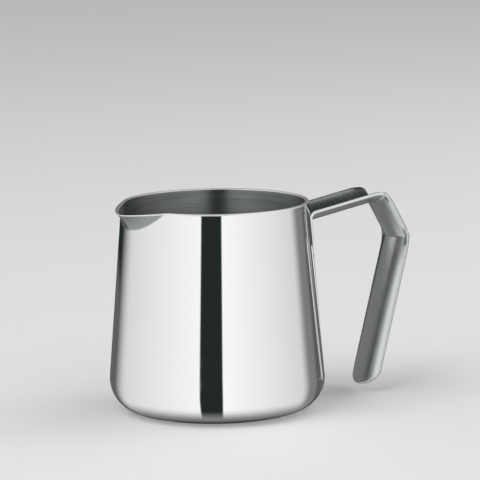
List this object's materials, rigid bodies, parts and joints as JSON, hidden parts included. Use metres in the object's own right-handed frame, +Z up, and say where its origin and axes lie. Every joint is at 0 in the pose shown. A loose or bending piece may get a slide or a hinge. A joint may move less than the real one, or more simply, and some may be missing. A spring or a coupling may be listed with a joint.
{
  "type": "candle melting pot",
  "caption": "Small stainless steel pot with a tapered body, a pinched pouring spout and a bent strip handle, for melting and pouring wax.",
  "frame": {"origin": "centre of the flat underside, on the surface that the pot stands on", "axes": "+Z up to the rim, +X towards the handle, so the spout points along -X; Y is across the handle"},
  "size_m": [0.1427, 0.0958, 0.0935],
  "materials": {
    "pot_steel": "mirror polished outside, satin brushed round the inside",
    "handle_steel": "fine satin, brushed along the strip, with polished edges",
    "weld_metal": "dull, heat tinted"
  },
  "bodies": {
    "root": {"pot_body": "pot_steel", "handle": "handle_steel", "spot_weld_lower": "weld_metal", "spot_weld_upper": "weld_metal"}
  },
  "joints": []
}
